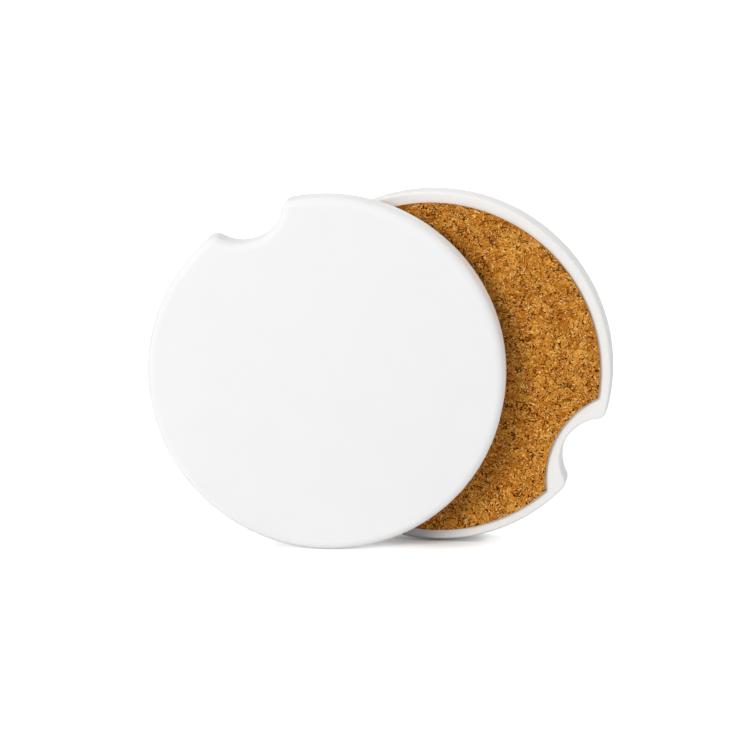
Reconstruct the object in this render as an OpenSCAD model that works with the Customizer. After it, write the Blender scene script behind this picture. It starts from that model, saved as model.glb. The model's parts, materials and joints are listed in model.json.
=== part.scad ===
// A set of two round car cup-holder coasters that stand on edge, one in front of the other.
// The front one turns its face to the viewer, the rear one its cork back.
// Frame: X to the right, Y away from the viewer, Z up, with the ground at Z = 0.

/* [Ceramic disc] */
// Diameter of the ceramic disc
disc_d = 66; // [56:0.5:90]
// Thickness of the ceramic disc
disc_t = 7; // [4:0.1:10]
// Radius of the rounded edge round the face
face_round = 1.5; // [0.6:0.1:1.8]
// Radius of the small rounding round the back
back_round = 0.5; // [0.2:0.05:1]

/* [Finger notch] */
// Radius of the finger notch in the rim
notch_r = 8; // [6:0.1:11]
// How deep the notch reaches in from the rim
notch_depth = 5.1; // [3.5:0.1:7]
// Radius of the corners where the notch meets the rim
corner_round = 2; // [1.7:0.1:3]

/* [Cork pad] */
// Thickness of the cork pad
cork_t = 0.6; // [0.4:0.1:3]
// Bare ceramic between the cork and the rim
rim_land = 2; // [1.2:0.1:4]
// Bare ceramic between the cork and the bottom of the notch
notch_land = 1.8; // [1:0.1:4]
// Radius of the shallow cut in the cork beside the notch
cork_cut_r = 17.5; // [14:0.5:24]
// Thickness of the adhesive film under the cork
film_t = 0.1; // [0.05:0.05:0.3]
// How far the adhesive film stays back from the edge of the cork
film_inset = 0.4; // [0.2:0.1:1]

/* [Standing pair] */
// How far the rear coaster stands to the right of the front one
pair_step = 20; // [10:0.1:30]
// Clearance between the two cork pads where they come closest
pair_gap = 0.6; // [0.3:0.1:3]
// How far the front coaster is turned, its right side towards the viewer
front_yaw = 5; // [0:0.5:6]
// How far the rear coaster is turned, its right side towards the viewer
rear_yaw = 9; // [7:0.5:14]
// Place of the front notch, from the right and upwards, as the viewer sees it
front_notch_at = 116; // [105:1:165]
// Place of the rear notch, from the right and downwards, as the viewer sees it
rear_notch_at = 27.8; // [18:0.1:60]

/* [Hidden] */
$fn = 128;

// Room that a cutting shape has beyond the surface it cuts
over = 1;
// Flat that is left on top of a corner when its radius is near that of the face rounding
least_flat = 0.1;
// How far a corner stands proud of true tangency, so that it crosses the rim and the notch cleanly
corner_proud = 0.02;

// Heights in a coaster that lies on its cork
film_z = cork_t;
ceramic_z = cork_t + film_t;
coaster_t = ceramic_z + disc_t;

// Plan of the disc: the rim about the origin, and the notch on the X axis
disc_r = disc_d / 2;
notch_floor = disc_r - notch_depth;
notch_x = notch_floor + notch_r;

// Each corner is an arc that touches the rim from inside and the notch from outside
corner_x = (pow(disc_r - corner_round, 2) + pow(notch_x, 2) - pow(notch_r + corner_round, 2)) / (2 * notch_x);
corner_y = sqrt(pow(disc_r - corner_round, 2) - pow(corner_x, 2));
corner_angle = atan2(corner_y, corner_x);

// Plan of the cork
cork_r = disc_r - rim_land;
cork_cut_x = notch_floor - notch_land + cork_cut_r;

// The rear coaster stands pair_gap behind the right edge of the front coaster's cork
yaw_between = rear_yaw - front_yaw;
front_reach = cork_r * sin(yaw_between) + coaster_t * cos(yaw_between);
rear_setback = (front_reach + pair_gap - pair_step * sin(rear_yaw)) / cos(rear_yaw);

// The pair is centred on the origin, from how far it reaches to each side
turn_r = disc_r - face_round;
reach_left = turn_r * cos(front_yaw) - face_round * sin(front_yaw) + face_round;
reach_right = turn_r * cos(rear_yaw) + (coaster_t - face_round) * sin(rear_yaw) + face_round;
reach_front = turn_r * sin(front_yaw) - face_round * cos(front_yaw) + face_round;
reach_back = turn_r * sin(rear_yaw) + (coaster_t - face_round) * cos(rear_yaw) + face_round;
front_x = (reach_left - reach_right - pair_step) / 2;
front_y = (reach_front - reach_back - rear_setback) / 2;

// What a corner of a section loses when it is rounded
module rounding_waste(round) {
    difference() {
        square(round + over);
        circle(round);
    }
}

// Half-section of the ceramic: well rounded at the face, nearly sharp at the back
module slab_section(r) {
    top_round = min(face_round, r - least_flat);
    difference() {
        square([r, disc_t]);
        translate([r - top_round, disc_t - top_round]) rounding_waste(top_round);
        translate([r - back_round, back_round]) mirror([0, 1]) rounding_waste(back_round);
    }
}

// Half-section of the notch: a bore that flares at both ends, so that the roundings run on into it
module notch_section() {
    translate([0, -over]) square([notch_r, disc_t + 2 * over]);
    translate([notch_r + face_round, disc_t - face_round]) mirror([1, 0]) rounding_waste(face_round);
    translate([notch_r + back_round, back_round]) rotate(180) rounding_waste(back_round);
}

// The sharp corner on one side of the notch, outside the rounded post that stays there
module corner_waste(side) {
    reach = notch_depth + over;
    difference() {
        translate([0, 0, -over])
            linear_extrude(disc_t + 2 * over)
                polygon([
                    [notch_x, 0],
                    [corner_x, side * corner_y],
                    [corner_x + reach, side * (corner_y + reach * tan(corner_angle))],
                    [notch_x + reach, 0]
                ]);
        translate([corner_x, side * corner_y, 0])
            rotate_extrude() slab_section(corner_round + corner_proud);
    }
}

// A ceramic disc on its back
module ceramic_disc() {
    translate([0, 0, ceramic_z])
        difference() {
            difference() {
                rotate_extrude() slab_section(disc_r);
                translate([notch_x, 0, 0]) rotate_extrude() notch_section();
            }
            for (side = [-1, 1]) corner_waste(side);
        }
}

// Outline of the cork, drawn in by inset
module cork_outline(inset = 0) {
    difference() {
        circle(cork_r - inset);
        translate([cork_cut_x, 0]) circle(cork_cut_r + inset);
    }
}

module cork_pad() {
    linear_extrude(cork_t) cork_outline();
}

module adhesive_film() {
    translate([0, 0, film_z]) linear_extrude(film_t) cork_outline(film_inset);
}

// Stands a lying coaster on its edge with its face to the viewer
module stand_front() {
    translate([front_x, front_y, disc_r])
        rotate([0, 0, -front_yaw])
            translate([0, coaster_t, 0])
                rotate([90, 0, 0])
                    rotate([0, 0, front_notch_at]) children();
}

// Stands a lying coaster on its edge with its cork to the viewer
module stand_rear() {
    translate([front_x + pair_step, front_y + rear_setback, disc_r])
        rotate([0, 0, -rear_yaw])
            rotate([-90, 0, 0])
                rotate([0, 0, rear_notch_at]) children();
}

module front_ceramic_disc() {
    color("whitesmoke") stand_front() ceramic_disc();
}

module front_adhesive_film() {
    color("wheat") stand_front() adhesive_film();
}

module front_cork_pad() {
    color("peru") stand_front() cork_pad();
}

module rear_ceramic_disc() {
    color("whitesmoke") stand_rear() ceramic_disc();
}

module rear_adhesive_film() {
    color("wheat") stand_rear() adhesive_film();
}

module rear_cork_pad() {
    color("peru") stand_rear() cork_pad();
}

front_ceramic_disc();
front_adhesive_film();
front_cork_pad();
rear_ceramic_disc();
rear_adhesive_film();
rear_cork_pad();
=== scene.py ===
# %% [markdown]
# # Two car coasters on a white table
#
# Two round coasters stand on edge. The front one shows its blank white face, the rear one its cork
# back. The CAD frame already holds every piece at its real size. This lesson gives the pieces their
# finish: it keeps the ceramic discs, models the cork from pressed granules, and lights the pair softly
# on white.

# %% Load the frame
import json
import math
import random

import bpy
from mathutils import Matrix, Vector

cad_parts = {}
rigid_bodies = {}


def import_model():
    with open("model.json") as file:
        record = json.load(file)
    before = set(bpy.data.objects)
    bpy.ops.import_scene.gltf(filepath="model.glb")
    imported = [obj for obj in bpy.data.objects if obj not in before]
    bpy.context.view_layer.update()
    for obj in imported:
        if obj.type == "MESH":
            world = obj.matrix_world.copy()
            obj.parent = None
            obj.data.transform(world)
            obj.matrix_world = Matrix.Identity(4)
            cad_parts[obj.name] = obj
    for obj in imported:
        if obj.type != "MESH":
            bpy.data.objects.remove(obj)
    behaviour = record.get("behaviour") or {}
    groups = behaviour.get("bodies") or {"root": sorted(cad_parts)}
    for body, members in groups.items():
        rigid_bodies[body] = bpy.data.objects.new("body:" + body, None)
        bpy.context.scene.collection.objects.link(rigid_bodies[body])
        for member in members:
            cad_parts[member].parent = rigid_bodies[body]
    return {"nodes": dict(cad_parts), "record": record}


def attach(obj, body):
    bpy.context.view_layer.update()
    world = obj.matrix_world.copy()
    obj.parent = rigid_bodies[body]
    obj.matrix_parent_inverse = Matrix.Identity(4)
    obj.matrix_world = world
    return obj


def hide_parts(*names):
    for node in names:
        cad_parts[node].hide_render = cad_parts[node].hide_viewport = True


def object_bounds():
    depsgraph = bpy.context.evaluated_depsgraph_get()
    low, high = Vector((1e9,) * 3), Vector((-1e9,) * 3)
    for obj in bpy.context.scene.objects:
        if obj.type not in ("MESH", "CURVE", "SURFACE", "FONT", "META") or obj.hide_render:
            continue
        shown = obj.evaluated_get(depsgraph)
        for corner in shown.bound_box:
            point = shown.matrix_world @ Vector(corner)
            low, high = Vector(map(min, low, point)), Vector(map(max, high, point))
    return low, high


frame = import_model()
cad_low, cad_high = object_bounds()
MM = 0.001
UP = Vector((0, 0, 1))
COASTERS = ("front", "rear")
print("CAD box in mm:", [round(s / MM, 2) for s in cad_high - cad_low])

# %% [markdown]
# ## Where the two coasters are
#
# The record names the cup face of each coaster, with a point on it and the direction it faces. Each pad
# lies on the other side of its disc, so these two directions also place the cork. Their numbers could
# be copied into this file, but read from the record they always fit the CAD.

# %% Read the cup faces
cup_faces = {mount["name"]: mount for mount in frame["record"]["mounts"]}


def cup_face(coaster):
    """The middle of a coaster's cup face, and the direction in which it faces."""
    mount = cup_faces[coaster + "_cup_face"]
    return Vector(mount["pos_m"]), Vector(mount["axis"]).normalized()


def depth_below(coaster, node):
    """How far the near and far side of a node lie below the cup face of its coaster."""
    point, out = cup_face(coaster)
    depths = [(point - v.co).dot(out) for v in frame["nodes"][node].data.vertices]
    return min(depths), max(depths)


for coaster in COASTERS:
    near, far = depth_below(coaster, coaster + "_cork_pad")
    print(coaster, "cork lies from", round(near / MM, 2), "to", round(far / MM, 2), "mm below the cup face")

# %% [markdown]
# ## Helpers for edit mode
#
# Operators act on whatever is selected, and loading the frame leaves its nodes selected. So each step
# starts from nothing selected, and picks its faces, edges or points in code.

# %% Selection helpers


def deselect_all():
    if bpy.context.mode != "OBJECT":
        bpy.ops.object.mode_set(mode="OBJECT")
    bpy.ops.object.select_all(action="DESELECT")


def make_active(piece):
    deselect_all()
    piece.select_set(True)
    bpy.context.view_layer.objects.active = piece


def edit(piece, mode="VERT"):
    """Edit mode with nothing selected."""
    make_active(piece)
    bpy.ops.object.mode_set(mode="EDIT")
    bpy.ops.mesh.select_mode(type=mode)
    bpy.ops.mesh.select_all(action="DESELECT")


def edit_all(piece, mode="VERT"):
    """Edit mode with everything selected."""
    edit(piece, mode)
    bpy.ops.mesh.select_all(action="SELECT")


def edit_points(piece, chosen):
    """Edit mode with only these points selected."""
    edit(piece)
    bpy.ops.object.mode_set(mode="OBJECT")
    for index in chosen:
        piece.data.vertices[index].select = True
    bpy.ops.object.mode_set(mode="EDIT")


def apply_modifier(piece, kind, **settings):
    make_active(piece)
    modifier = piece.modifiers.new(kind.lower(), kind)
    for key, value in settings.items():
        setattr(modifier, key, value)
    bpy.ops.object.modifier_apply(modifier=modifier.name)


# %% [markdown]
# ## Cork: a mosaic of granules
#
# Coaster cork is ground bark, pressed and glued into a sheet, and die-cut. What the eye sees is a
# mosaic of small chips, each with its own tone, and dark open cracks where they don't quite meet. A
# picture of cork would be flat, so the chips are modelled. A loose grid of triangles with cut corners
# gives a mosaic with chips of many sides, and dissolving some of its edges joins chips into longer
# ones.

# %% A grid of triangles, shaken
SHEET_SIZE = 66 * MM
CHIP_PITCH = 1.15 * MM
SHAKE = 0.3 * CHIP_PITCH
SHAKE_EVENNESS = 0.4
SHAKE_SEED = 4
CORNER_CUT_PERCENT = 36
cells = round(SHEET_SIZE / CHIP_PITCH)

deselect_all()
bpy.ops.mesh.primitive_grid_add(x_subdivisions=cells, y_subdivisions=cells, size=SHEET_SIZE)
sheet = bpy.context.object
sheet.name = "granule_sheet"
edit_all(sheet)
bpy.ops.transform.vertex_random(offset=SHAKE, uniform=SHAKE_EVENNESS, normal=0.0, seed=SHAKE_SEED)
bpy.ops.transform.resize(value=(1, 1, 0), center_override=(0, 0, 0))
bpy.ops.mesh.quads_convert_to_tris(quad_method="SHORTEST_DIAGONAL")
bpy.ops.mesh.bevel(offset_type="PERCENT", offset_pct=CORNER_CUT_PERCENT, affect="VERTICES")
bpy.ops.object.mode_set(mode="OBJECT")
print("mosaic of", len(sheet.data.polygons), "chips")

# %% Join some chips into longer ones
JOINED_SHARE = 0.2
JOIN_SEED = 9

edit(sheet, "EDGE")
bpy.ops.mesh.select_random(ratio=JOINED_SHARE, seed=JOIN_SEED)
bpy.ops.mesh.dissolve_edges(use_verts=True)
bpy.ops.object.mode_set(mode="OBJECT")
print("after joining,", len(sheet.data.polygons), "chips")

# %% [markdown]
# Every chip gets a number from 0 to 1 now, while it is still one face. Inset copies the number to the
# new faces round it, so a chip and its slopes stay one colour later.

# %% Give each chip its own number
TONE_SEED = 21

tones = random.Random(TONE_SEED)
granule = sheet.data.attributes.new("granule", "FLOAT", "FACE")
granule.data.foreach_set("value", [tones.random() for _ in sheet.data.polygons])
print("numbered", len(granule.data), "chips")

# %% [markdown]
# ## Gaps, cracks, pits and uneven chips
#
# In pressed cork some chips don't quite meet, and here and there one is torn out. That leaves short
# gaps, long cracks that wander from chip to chip, and small pits. They could be painted on, but then
# they would stay flat when the light moves. Here inset draws every chip in by half a crack. The points
# between the chips then form a net, and where a stretch of it, a longer trail or a single point is
# pushed down, a gap, a crack or a pit opens. The chips themselves lie a little uneven.

# %% Draw the chips in
CRACK_WIDTH = 0.19 * MM

edit_all(sheet, "FACE")
bpy.ops.mesh.inset(thickness=CRACK_WIDTH / 2, depth=0, use_individual=True)
bpy.ops.object.mode_set(mode="OBJECT")
chips = [face.vertices[:] for face in sheet.data.polygons if face.select]
chip_points = {index for chip in chips for index in chip}
net_points = set(range(len(sheet.data.vertices))) - chip_points
net_edges = [edge.vertices[:] for edge in sheet.data.edges if set(edge.vertices) <= net_points]
print(len(chips), "chips and", len(net_edges), "stretches between them")

# %% Open the gaps, cracks and pits
SEAM_DEPTH = 0.02 * MM
CRACK_DEPTH = 0.16 * MM
GAP_SHARE = 0.03
PIT_SHARE = 0.03
LONG_CRACKS = 46
FEWEST_STEPS = 2
MOST_STEPS = 7
CRACK_SEED = 8

cracks = random.Random(CRACK_SEED)
neighbours = {}
for one, other in net_edges:
    neighbours.setdefault(one, []).append(other)
    neighbours.setdefault(other, []).append(one)


def long_crack():
    """The points of a crack that wanders along the net without turning back."""
    trail = [cracks.choice(sorted(neighbours))]
    for _ in range(cracks.randint(FEWEST_STEPS, MOST_STEPS)):
        onward = [index for index in neighbours[trail[-1]] if index not in trail]
        if onward:
            trail.append(cracks.choice(onward))
    return trail


open_points = {index for edge in net_edges if cracks.random() < GAP_SHARE for index in edge}
open_points |= {index for _ in range(LONG_CRACKS) for index in long_crack()}
open_points |= {index for index in sorted(net_points) if cracks.random() < PIT_SHARE}

edit_points(sheet, net_points)
bpy.ops.transform.translate(value=(0, 0, -SEAM_DEPTH))
edit_points(sheet, open_points)
bpy.ops.transform.translate(value=(0, 0, -CRACK_DEPTH))
print(len(open_points), "of", len(net_points), "points of the net lie in a gap, a crack or a pit")

# %% Let the chips lie uneven
CHIP_UNEVEN = 0.035 * MM
LEVELS = 4
LEVEL_SEED = 15

heights = random.Random(LEVEL_SEED)
levels = [heights.randrange(LEVELS) for _ in chips]
for level in range(1, LEVELS):
    lowered = {index for chip, at in zip(chips, levels) if at == level for index in chip}
    edit_points(sheet, lowered)
    bpy.ops.transform.translate(value=(0, 0, -level * CHIP_UNEVEN / LEVELS))
bpy.ops.object.mode_set(mode="OBJECT")
print("chips at each level:", [levels.count(level) for level in range(LEVELS)])

# %% [markdown]
# How deep a point lies is kept with the mesh as well: the finish paints shade into the cracks by it,
# darker the deeper. The sheet is still a skin. A solid is needed to stamp a pad out of it, so its rim is
# drawn down and closed.

# %% Keep the depths, and close the sheet into a slab
SLAB_T = 3 * MM

sunk = sheet.data.attributes.new("sunk", "FLOAT", "POINT")
sunk.data.foreach_set("value", [-v.co.z / MM for v in sheet.data.vertices])
edit_all(sheet, "FACE")
bpy.ops.mesh.region_to_loop()
bpy.ops.mesh.extrude_edges_move(TRANSFORM_OT_translate={"value": (0, 0, -SLAB_T)})
bpy.ops.mesh.edge_face_add()
bpy.ops.mesh.select_all(action="SELECT")
bpy.ops.mesh.normals_make_consistent(inside=False)
bpy.ops.object.mode_set(mode="OBJECT")
print("granule slab with", len(sheet.data.polygons), "faces")

# %% [markdown]
# ## Cut the pads out of the slab
#
# The factory stamps the pads out of a sheet with a die. Here the die is a merged copy of the CAD pad:
# what the slab and the die share is the finished pad, with its outline exactly where the CAD pad has
# it. The slab is turned for the front pad, so that the two don't show the same granules.

# %% Stamp out a pad
FRONT_SLAB_TURN = math.radians(130)
WELD = 0.001 * MM


def cork_pad(coaster, turn):
    node = frame["nodes"][coaster + "_cork_pad"]
    point, out = cup_face(coaster)
    far = depth_below(coaster, node.name)[1]
    side = UP.cross(-out)
    place = Matrix((side, UP, -out)).transposed().to_4x4()
    place.translation = point - far * out
    pad = sheet.copy()
    pad.data = sheet.data.copy()
    pad.name = coaster + "_cork"
    bpy.context.collection.objects.link(pad)
    pad.matrix_world = place @ Matrix.Rotation(turn, 4, "Z")
    make_active(pad)
    bpy.ops.object.transform_apply(location=True, rotation=True, scale=True)
    die = bpy.data.objects.new(coaster + "_die", node.data.copy())
    bpy.context.collection.objects.link(die)
    edit_all(die)
    bpy.ops.mesh.remove_doubles(threshold=WELD)
    apply_modifier(pad, "BOOLEAN", operation="INTERSECT", solver="MANIFOLD", object=die)
    bpy.data.objects.remove(die)
    return pad


pads = {"front": cork_pad("front", FRONT_SLAB_TURN), "rear": cork_pad("rear", 0)}
bpy.data.objects.remove(sheet)
for pad in pads.values():
    print(pad.name, "has", len(pad.data.polygons), "faces,", [a.name for a in pad.data.attributes])

# %% Put the pads on their coasters
for coaster, pad in pads.items():
    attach(pad, coaster + "_coaster")
    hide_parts(coaster + "_cork_pad")
    print(pad.name, "rides on", coaster + "_coaster")

# %% [markdown]
# ## A short way to write node trees
#
# A finish is a tree of nodes. The first helper adds a node, sets its sockets, and links those that are
# given as another node's output, so that a tree reads from top to bottom. The others add the nodes that
# come up again and again: sums, ranges, noise and mixed colours.

# %% Node helpers


def add(tree, kind, inputs=None, **settings):
    node = tree.nodes.new("ShaderNode" + kind)
    for key, value in settings.items():
        setattr(node, key, value)
    for key, value in (inputs or {}).items():
        if isinstance(value, bpy.types.NodeSocket):
            tree.links.new(value, node.inputs[key])
        else:
            node.inputs[key].default_value = value
    return node


def calc(tree, operation, *values):
    return add(tree, "Math", dict(enumerate(values)), operation=operation).outputs[0]


def spread(tree, value, start, full, low=0, high=1):
    """A value's stretch from start to full, spread over the stretch from low to high."""
    ends = {"From Min": start, "From Max": full, "To Min": low, "To Max": high}
    return add(tree, "MapRange", {"Value": value, **ends}).outputs["Result"]


def noise(tree, place, scale, detail):
    return add(tree, "TexNoise", {"Vector": place, "Scale": scale, "Detail": detail}).outputs["Fac"]


def opaque(colour):
    return (*colour, 1)


def mix(tree, share, under, over, **settings):
    return add(tree, "MixRGB", {"Fac": share, "Color1": under, "Color2": over}, **settings).outputs[0]


def ramp(tree, value, *stops):
    node = add(tree, "ValToRGB", {"Fac": value})
    elements = node.color_ramp.elements
    while len(elements) < len(stops):
        elements.new(0.5)
    for element, (position, colour) in zip(elements, stops):
        element.position = position
        element.color = opaque(colour)
    return node.outputs["Color"]


# %% Material helpers


def new_material(name):
    material = bpy.data.materials.new(name)
    material.use_nodes = True
    material.node_tree.nodes.clear()
    return material, material.node_tree


def output(tree, surface):
    add(tree, "OutputMaterial", {"Surface": surface})


def object_mm(tree):
    """Places on the object, in millimetres."""
    place = add(tree, "TexCoord").outputs["Object"]
    return add(tree, "VectorMath", {0: place, "Scale": 1 / MM}, operation="SCALE").outputs[0]


def dress(piece, material):
    piece.data.materials.clear()
    piece.data.materials.append(material)
    print(piece.name, "is dressed in", material.name)


# %% [markdown]
# ## The grain of cork
#
# Each chip is cut across the bark at its own angle, so its fine streaks run its own way. One noise over
# the whole pad would run through all chips alike. So the chip's number shifts and turns the places that
# the noise reads. The smallest flakes are too fine to model. Their edges are drawn instead: thin lines
# where a noise passes its middle, dark on one side and light on the other, and broken off where the
# streaks are dark. The dark line is partly a flake's own dark edge and partly painted shade. The light
# line is a painted highlight, as if each flake edge had a lit side and a shaded side.

# %% Places and flake edges
CHIP_SHIFT = (31, 47, 59)
CHIP_TURN = 40.0
FLAKE_SCALE = 1.15
FLAKE_DETAIL = 1
DARK_EDGE = 0.5
DARK_EDGE_WIDTH = 0.026
# The light line beside the dark one is a painted highlight.
HIGHLIGHT_EDGE = DARK_EDGE + 1.8 * DARK_EDGE_WIDTH
HIGHLIGHT_EDGE_WIDTH = 0.8 * DARK_EDGE_WIDTH
EDGE_STREAK = 0.48


def chip_places(tree, chip):
    """Places in millimetres, shifted and turned by the chip's number."""
    shift = add(tree, "VectorMath", {0: CHIP_SHIFT, "Scale": chip}, operation="SCALE").outputs[0]
    moved = add(tree, "VectorMath", {0: object_mm(tree), 1: shift}, operation="ADD").outputs[0]
    angle = calc(tree, "MULTIPLY", chip, CHIP_TURN)
    return add(tree, "VectorRotate", {"Vector": moved, "Angle": angle}, rotation_type="Y_AXIS").outputs[0]


def stretched(tree, place, scale):
    return add(tree, "Mapping", {"Vector": place, "Scale": scale}).outputs[0]


def flake_edges(tree, place, streaks):
    """Dark lines along the flake edges, partly painted shade, and painted highlight lines beside them."""
    flakes = noise(tree, place, FLAKE_SCALE, FLAKE_DETAIL)
    shown = calc(tree, "GREATER_THAN", streaks, EDGE_STREAK)
    dark = calc(tree, "COMPARE", flakes, DARK_EDGE, DARK_EDGE_WIDTH)
    # a pale line beside each dark one: a painted highlight
    light = calc(tree, "COMPARE", flakes, HIGHLIGHT_EDGE, HIGHLIGHT_EDGE_WIDTH)
    return calc(tree, "MULTIPLY", dark, shown), calc(tree, "MULTIPLY", light, shown)


# %% [markdown]
# ## The cork finish
#
# Raw cork is matt and runs from dark bark to pale tan. The chip's number and its streaks pick a tone on
# that scale. Over it lie pale flecks, the flake edges with their painted shade and painted highlight,
# dark specks, and last painted shade in the cracks, nearly black-brown and darker the deeper they lie.
# A few layers with hard limits look more like ground bark than one soft noise does.

# %% Cork colours
CORK_DARK = (0.23, 0.041, 0.0017)
CORK_BROWN = (0.36, 0.100, 0.0065)
CORK_GOLD = (0.50, 0.174, 0.0148)
CORK_TAN = (0.64, 0.266, 0.033)
CORK_PALE = (0.78, 0.386, 0.074)
CORK_TONES = (
    (0.0, CORK_DARK),
    (0.25, CORK_BROWN),
    (0.5, CORK_GOLD),
    (0.75, CORK_TAN),
    (1.0, CORK_PALE),
)
FLECK_AND_HIGHLIGHT_PALE = (0.90, 0.54, 0.17)
SPECK_AND_SHADE_BROWN = (0.09, 0.011, 0.0005)
CRACK_SHADE_BROWN = (0.065, 0.011, 0.0005)
MEAN_TONE = 0.60
CHIP_CONTRAST = 0.42
STREAK_CONTRAST = 0.75


def cork_tone(tree, chip, streaks):
    tone = MEAN_TONE - (CHIP_CONTRAST + STREAK_CONTRAST) / 2
    for part, contrast in ((chip, CHIP_CONTRAST), (streaks, STREAK_CONTRAST)):
        tone = calc(tree, "MULTIPLY_ADD", part, contrast, tone)
    return ramp(tree, tone, *CORK_TONES)


# %% Cork
STREAK_STRETCH = (0.7, 1.5, 2.0)
STREAK_SCALE = 1.2
STREAK_DETAIL = 3
FLAKE_STRETCH = (0.7, 1.0, 1.4)
FLECK_SCALE = 2.6
FLECK_FROM = 0.635
FLECK_FULL = 0.685
SPECK_SCALE = 3.0
SPECK_FROM = 0.37
SPECK_FULL = 0.33
DOT_DETAIL = 0.5
# Painted shade in the cracks: it starts at this depth in mm and is full at the next.
CRACK_SHADE_FROM = 0.03
CRACK_SHADE_FULL = 0.08
PORE_DEPTH = 0.2 * MM
CORK_ROUGH = 0.95
CORK_GLOSS = 0.02


def cork_finish():
    material, tree = new_material("pressed_cork")
    chip = add(tree, "Attribute", attribute_name="granule").outputs["Fac"]
    depth = add(tree, "Attribute", attribute_name="sunk").outputs["Fac"]
    turned = chip_places(tree, chip)
    fibres = stretched(tree, turned, STREAK_STRETCH)
    flakes = stretched(tree, turned, FLAKE_STRETCH)
    streaks = noise(tree, fibres, STREAK_SCALE, STREAK_DETAIL)
    flecks = noise(tree, fibres, FLECK_SCALE, DOT_DETAIL)
    specks = noise(tree, flakes, SPECK_SCALE, DOT_DETAIL)
    dark_edges_and_shade, highlight_edges = flake_edges(tree, flakes, streaks)
    colour = cork_tone(tree, chip, streaks)
    for share, paint in (
        (spread(tree, flecks, FLECK_FROM, FLECK_FULL), FLECK_AND_HIGHLIGHT_PALE),
        # painted highlight beside the flake edges
        (highlight_edges, FLECK_AND_HIGHLIGHT_PALE),
        # the flake edges: partly their own dark colour, partly painted shade
        (dark_edges_and_shade, SPECK_AND_SHADE_BROWN),
        (spread(tree, specks, SPECK_FROM, SPECK_FULL), SPECK_AND_SHADE_BROWN),
        # painted shade in the cracks, darker the deeper
        (spread(tree, depth, CRACK_SHADE_FROM, CRACK_SHADE_FULL), CRACK_SHADE_BROWN),
    ):
        colour = mix(tree, share, colour, opaque(paint))
    bump = add(tree, "Bump", {"Height": specks, "Strength": 1.0, "Distance": PORE_DEPTH}).outputs[0]
    matt = {"Roughness": CORK_ROUGH, "Specular IOR Level": CORK_GLOSS}
    surface = add(tree, "BsdfPrincipled", {"Base Color": colour, "Normal": bump, **matt})
    output(tree, surface.outputs[0])
    return material


cork = cork_finish()
for pad in pads.values():
    dress(pad, cork)

# %% [markdown]
# ## The ceramic finish
#
# The discs are pressed from white clay and fired. The face is coated for printing, so it is smooth and
# neutral. The back and the rim are bare and a touch warmer. Close by, the clay shows fine grain. Two
# materials with a border between them would show a hard line, so one material fades from coat to clay
# by the height above the cork, along the direction in which the coaster faces.

# %% Ceramic
FACE_WHITE = (0.865, 0.866, 0.866)
CLAY_WHITE = (0.875, 0.865, 0.85)
COAT_DEPTH = 1.5 * MM
FULL_COAT_DEPTH = COAT_DEPTH / 3
GRAIN_SCALE = 4.0
GRAIN_DETAIL = 4
GRAIN_BUMP = 0.12
GRAIN_DEPTH = 0.03 * MM
CLOUD_SCALE = 0.12
CLOUD_DETAIL = 2
CLOUD_SHADES = (0.985, 1.015)
CLAY_ROUGH = (0.72, 0.88)
CLAY_GLOSS = 0.1


def ceramic_finish(coaster):
    material, tree = new_material(coaster + "_ceramic")
    point, out = cup_face(coaster)
    place = object_mm(tree)
    height = add(tree, "VectorMath", {0: place, 1: out}, operation="DOT_PRODUCT").outputs["Value"]
    top = point.dot(out)
    coat = spread(tree, height, (top - COAT_DEPTH) / MM, (top - FULL_COAT_DEPTH) / MM)
    grain = noise(tree, place, GRAIN_SCALE, GRAIN_DETAIL)
    clouds = noise(tree, place, CLOUD_SCALE, CLOUD_DETAIL)
    colour = mix(tree, coat, opaque(CLAY_WHITE), opaque(FACE_WHITE))
    colour = mix(tree, 1.0, colour, spread(tree, clouds, 0, 1, *CLOUD_SHADES), blend_type="MULTIPLY")
    rough = spread(tree, grain, 0, 1, *CLAY_ROUGH)
    bump = add(tree, "Bump", {"Height": grain, "Strength": GRAIN_BUMP, "Distance": GRAIN_DEPTH}).outputs[0]
    clay = {"Roughness": rough, "Specular IOR Level": CLAY_GLOSS}
    surface = add(tree, "BsdfPrincipled", {"Base Color": colour, "Normal": bump, **clay})
    output(tree, surface.outputs[0])
    return material


for coaster in COASTERS:
    dress(frame["nodes"][coaster + "_ceramic_disc"], ceramic_finish(coaster))

# %% [markdown]
# ## The adhesive
#
# A thin clear film holds the cork. It stays back from the edge of the pad, so it only shows as a fine
# line in the gap, a little yellow and slightly uneven. Glass would be lost in that gap, so the film is
# a plain yellowish sheet with a soft haze.

# %% Adhesive film
FILM_DEEP = (0.62, 0.53, 0.36)
FILM_PALE = (0.74, 0.66, 0.5)
HAZE_SCALE = 0.8
HAZE_DETAIL = 3
HAZE_LOW = 0.3
HAZE_HIGH = 0.7
FILM_ROUGH = (0.35, 0.55)


def adhesive_finish():
    material, tree = new_material("adhesive_film")
    haze = noise(tree, object_mm(tree), HAZE_SCALE, HAZE_DETAIL)
    colour = ramp(tree, haze, (HAZE_LOW, FILM_DEEP), (HAZE_HIGH, FILM_PALE))
    rough = spread(tree, haze, 0, 1, *FILM_ROUGH)
    surface = add(tree, "BsdfPrincipled", {"Base Color": colour, "Roughness": rough})
    output(tree, surface.outputs[0])
    return material


film = adhesive_finish()
for coaster in COASTERS:
    dress(frame["nodes"][coaster + "_adhesive_film"], film)

# %% [markdown]
# ## Table
#
# The photo's ground is pure white, with only a short dark shadow where the rear coaster touches it. The
# table is a matt white sheet. To the camera it adds a little light of its own, so that it reaches white
# without brighter lamps. That light fades out towards the foot of the rear coaster, where the shadow
# stays. Right at the foot the shadow is darkest. There the sheet also has painted shade: its colour
# darkens close to whatever stands on it.

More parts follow.
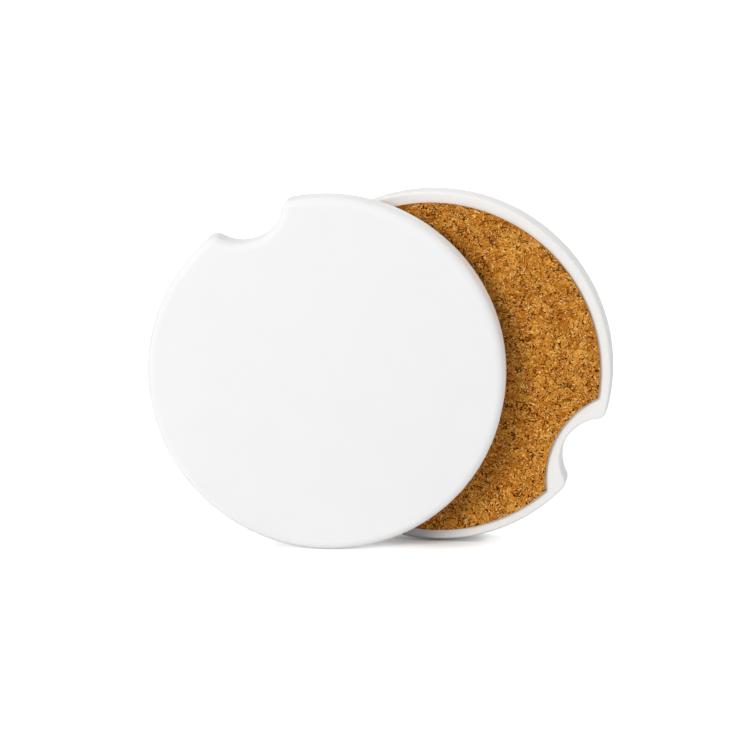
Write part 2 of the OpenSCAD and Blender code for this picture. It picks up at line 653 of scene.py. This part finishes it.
# %% Where the shadow stays
point, out = cup_face("rear")
foot = point - depth_below("rear", "rear_cork_pad")[1] * out
foot.z = 0
print("the rear coaster's foot is at", [round(x / MM, 1) for x in foot], "mm")

# %% Table finish
PAPER_WHITE = (1, 1, 1, 1)
SHADOW_BLACK = (0, 0, 0, 1)
TABLE_WHITE = (0.88, 0.88, 0.88, 1)
GLOW_NEAR = 0.5
GLOW_FAR = 1.0
NEAR_EDGE = 80 * MM
FAR_EDGE = 600 * MM
SHADOW_REACH = 6.5 * MM
SHADOW_STRETCH = (0.4, 1, 1)
# Painted shade on the sheet: how far it reaches, and how steeply it fades
PAINTED_SHADE_REACH = 1.6 * MM
PAINTED_SHADE_POWER = 3


def seen_by_eye(tree):
    """1 for what the camera sees, straight or in a reflection, and 0 for light on its way round."""
    path = add(tree, "LightPath").outputs
    seen = calc(tree, "MAXIMUM", path["Is Camera Ray"], path["Is Glossy Ray"])
    return calc(tree, "MAXIMUM", seen, path["Is Transmission Ray"])


def beyond_shadow(tree, place):
    """0 at the foot of the rear coaster, and 1 where its shadow ends."""
    step = add(tree, "VectorMath", {0: place, 1: foot}, operation="SUBTRACT").outputs[0]
    step = add(tree, "VectorMath", {0: step, 1: SHADOW_STRETCH}, operation="MULTIPLY").outputs[0]
    step = add(tree, "VectorMath", {0: step}, operation="LENGTH").outputs["Value"]
    return spread(tree, step, 0, SHADOW_REACH)


def table_finish():
    material, tree = new_material("white_table")
    place = add(tree, "TexCoord").outputs["Object"]
    away = add(tree, "VectorMath", {0: place}, operation="LENGTH").outputs["Value"]
    clear = beyond_shadow(tree, place)
    glow = spread(tree, away, NEAR_EDGE, FAR_EDGE, GLOW_NEAR, GLOW_FAR)
    glow = calc(tree, "MULTIPLY", glow, clear)
    glow = calc(tree, "MULTIPLY", glow, seen_by_eye(tree))
    # painted shade: the sheet's colour darkens close to whatever stands on it
    painted_shade = add(tree, "AmbientOcclusion", {"Distance": PAINTED_SHADE_REACH}).outputs["AO"]
    painted_shade = calc(tree, "POWER", painted_shade, PAINTED_SHADE_POWER)
    unshaded_share = spread(tree, clear, 0, 1, painted_shade, 1)
    shaded_sheet_colour = mix(tree, unshaded_share, SHADOW_BLACK, TABLE_WHITE)
    matt = add(tree, "BsdfDiffuse", {"Color": shaded_sheet_colour}).outputs[0]
    shine = add(tree, "Emission", {"Strength": glow}).outputs[0]
    output(tree, add(tree, "AddShader", {0: matt, 1: shine}).outputs[0])
    return material


# %% Table
TABLE_SIZE = 12

deselect_all()
bpy.ops.mesh.primitive_plane_add(size=TABLE_SIZE)
table = bpy.context.object
table.name = "table"
dress(table, table_finish())

# %% [markdown]
# ## Light
#
# The photo's light is soft and comes from all round, a little more from the left. A wide lamp on the
# left lights the faces and lets the front coaster shade the cork beside it. Lamps overhead, behind and
# on the right keep the rims from going grey, and a pale room fills the rest. A bright room alone would
# do it more simply, but then nothing would have a lit side. The camera sees the room as plain white.

# %% Room
ROOM_LIGHT = 0.16

world = bpy.data.worlds.new("white_room")
bpy.context.scene.world = world
world.use_nodes = True
world_tree = world.node_tree
world_tree.nodes.clear()
room = add(world_tree, "Background", {"Color": PAPER_WHITE, "Strength": ROOM_LIGHT}).outputs[0]
backdrop = add(world_tree, "Background", {"Color": PAPER_WHITE, "Strength": 1.0}).outputs[0]
mixed = add(world_tree, "MixShader", {0: seen_by_eye(world_tree), 1: room, 2: backdrop}).outputs[0]
add(world_tree, "OutputWorld", {"Surface": mixed})
print("room light", ROOM_LIGHT)

# %% Lamps
LAMP_DISTANCE = 1.0


def softbox(name, right, up, size, power):
    """A round lamp a metre away, turned right of the camera and up from the table by these degrees."""
    turn = Matrix.Rotation(math.radians(right), 3, "Z") @ Matrix.Rotation(math.radians(-up), 3, "X")
    towards = turn @ Vector((0, -1, 0))
    lamp = bpy.data.lights.new(name, "AREA")
    lamp.shape = "DISK"
    lamp.size = size
    lamp.energy = power
    holder = bpy.data.objects.new(name, lamp)
    holder.location = towards * LAMP_DISTANCE + UP * cad_high.z / 2
    holder.rotation_euler = (-towards).to_track_quat("-Z", "Y").to_euler()
    bpy.context.collection.objects.link(holder)
    print(name, "at", [round(x, 2) for x in holder.location], "m with", power, "W")


softbox("key_softbox", right=-35, up=20, size=0.45, power=6.2)
softbox("top_softbox", right=0, up=85, size=0.6, power=3.2)
softbox("back_softbox", right=180, up=50, size=0.6, power=2.8)
softbox("side_softbox", right=85, up=20, size=0.6, power=2.6)

# %% [markdown]
# ## Camera
#
# The photo was taken with a long lens from a little above, so the rear coaster looks hardly smaller
# than the front one. Its distance, height and aim were solved from the outlines of the two discs, which
# fits better than turning the camera by eye. The focal length is given in pixels of the photo's width.

# %% Camera
IMAGE_WIDTH = 750
SENSOR = 36.0
FOCAL_PIXELS = 3001.5
CAMERA_DISTANCE = 550 * MM
CAMERA_ELEVATION = math.radians(11.892)
AIM_RIGHT = 9.21 * MM
AIM_ABOVE = 0.30 * MM

aim = cup_face("front")[0] + Vector((AIM_RIGHT, 0, AIM_ABOVE))
back = Vector((0, -math.cos(CAMERA_ELEVATION), math.sin(CAMERA_ELEVATION)))
camera = bpy.data.objects.new("camera", bpy.data.cameras.new("camera"))
bpy.context.collection.objects.link(camera)
camera.data.sensor_width = SENSOR
camera.data.lens = FOCAL_PIXELS * SENSOR / IMAGE_WIDTH
camera.location = aim + CAMERA_DISTANCE * back
camera.rotation_euler = (math.pi / 2 - CAMERA_ELEVATION, 0, 0)
bpy.context.scene.camera = camera
bpy.context.scene.view_settings.view_transform = "Standard"
print("camera at", [round(x / MM, 1) for x in camera.location], "mm")
print("lens of", round(camera.data.lens, 1), "mm")
